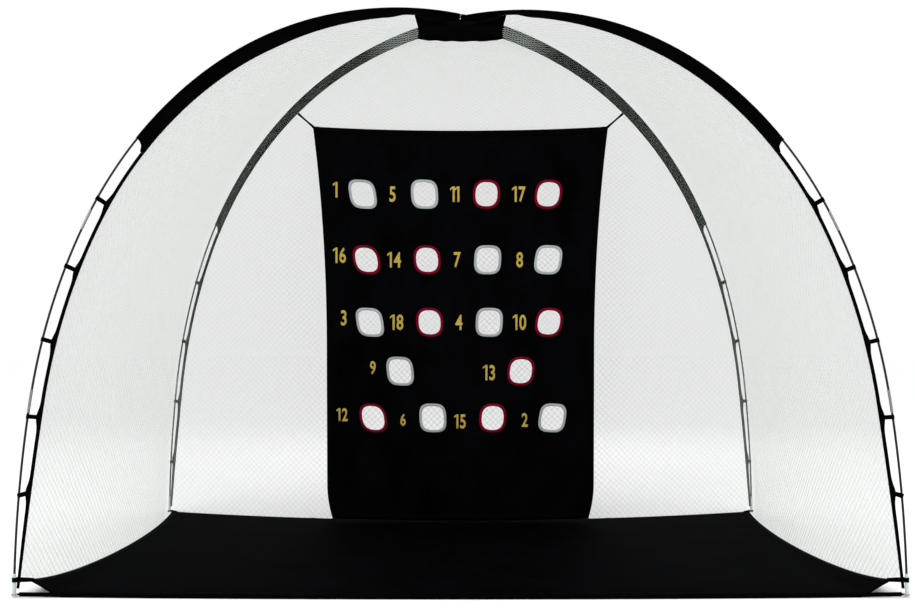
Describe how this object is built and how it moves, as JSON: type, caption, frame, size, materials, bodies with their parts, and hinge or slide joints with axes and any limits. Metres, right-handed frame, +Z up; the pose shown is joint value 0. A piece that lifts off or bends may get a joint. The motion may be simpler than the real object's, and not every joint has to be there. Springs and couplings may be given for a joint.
{
  "type": "golf practice net",
  "caption": "Free-standing dome practice net on crossed bent poles, open at the front, with a floor sheet and a hanging target sheet with numbered holes.",
  "frame": {"origin": "on the ground below the crown, at the middle of the footprint", "axes": "+X to the right along the open front, -Y out of the open front, +Z up"},
  "size_m": [3.0698, 2.0459, 2.3311],
  "materials": {
    "pole": "black glass-fibre tube, satin gloss",
    "ferrule": "drawn steel, satin",
    "shock_cord": "elastic cord in a woven cover",
    "foot_tip": "moulded, pale grey-green",
    "ring": "plated steel wire",
    "sleeve": "woven polyester, matt black",
    "webbing": "woven tape, matt black",
    "net": "knotless mesh, off-white",
    "floor": "coated woven sheet, black",
    "target": "coated woven sheet, black",
    "rim_grey": "bound edge, pale grey",
    "rim_red": "bound edge, dark red"
  },
  "bodies": {
    "root": {"pole_a_section_01": "pole", "pole_a_section_02": "pole", "pole_a_section_03": "pole", "pole_a_section_04": "pole", "pole_a_section_05": "pole", "pole_a_section_06": "pole", "pole_a_section_07": "pole", "pole_a_section_08": "pole", "pole_a_section_09": "pole", "pole_a_section_10": "pole", "pole_b_section_01": "pole", "pole_b_section_02": "pole", "pole_b_section_03": "pole", "pole_b_section_04": "pole", "pole_b_section_05": "pole", "pole_b_section_06": "pole", "pole_b_section_07": "pole", "pole_b_section_08": "pole", "pole_b_section_09": "pole", "pole_b_section_10": "pole", "pole_a_ferrules": "ferrule", "pole_b_ferrules": "ferrule", "pole_a_shock_cord": "shock_cord", "pole_b_shock_cord": "shock_cord", "foot_tip_front_left": "foot_tip", "foot_tip_front_right": "foot_tip", "foot_tip_back_left": "foot_tip", "foot_tip_back_right": "foot_tip", "front_foot_rings": "ring", "sleeve_front_left": "sleeve", "sleeve_front_right": "sleeve", "sleeve_back_left": "sleeve", "sleeve_back_right": "sleeve", "crown_patch": "sleeve", "hem_front_left": "webbing", "hem_front_right": "webbing", "hem_back_left": "webbing", "hem_back_right": "webbing", "loops_front_left": "webbing", "loops_front_right": "webbing", "loops_back_left": "webbing", "loops_back_right": "webbing", "net_left": "net", "net_right": "net", "net_back": "net", "floor_sheet": "floor", "front_strap": "webbing", "corner_tabs": "webbing", "target_foot_ties": "webbing"},
    "target": {"target_sheet": "target", "target_rims_white": "rim_grey", "target_rims_red": "rim_red", "target_corner_straps": "webbing"}
  },
  "joints": [
    {"name": "target_swing", "type": "hinge", "parent": "root", "child": "target", "pos_m": [0, 0.52003, 1.99945], "axis": [-1, 0, 0], "range_deg": [0, 35]}
  ]
}
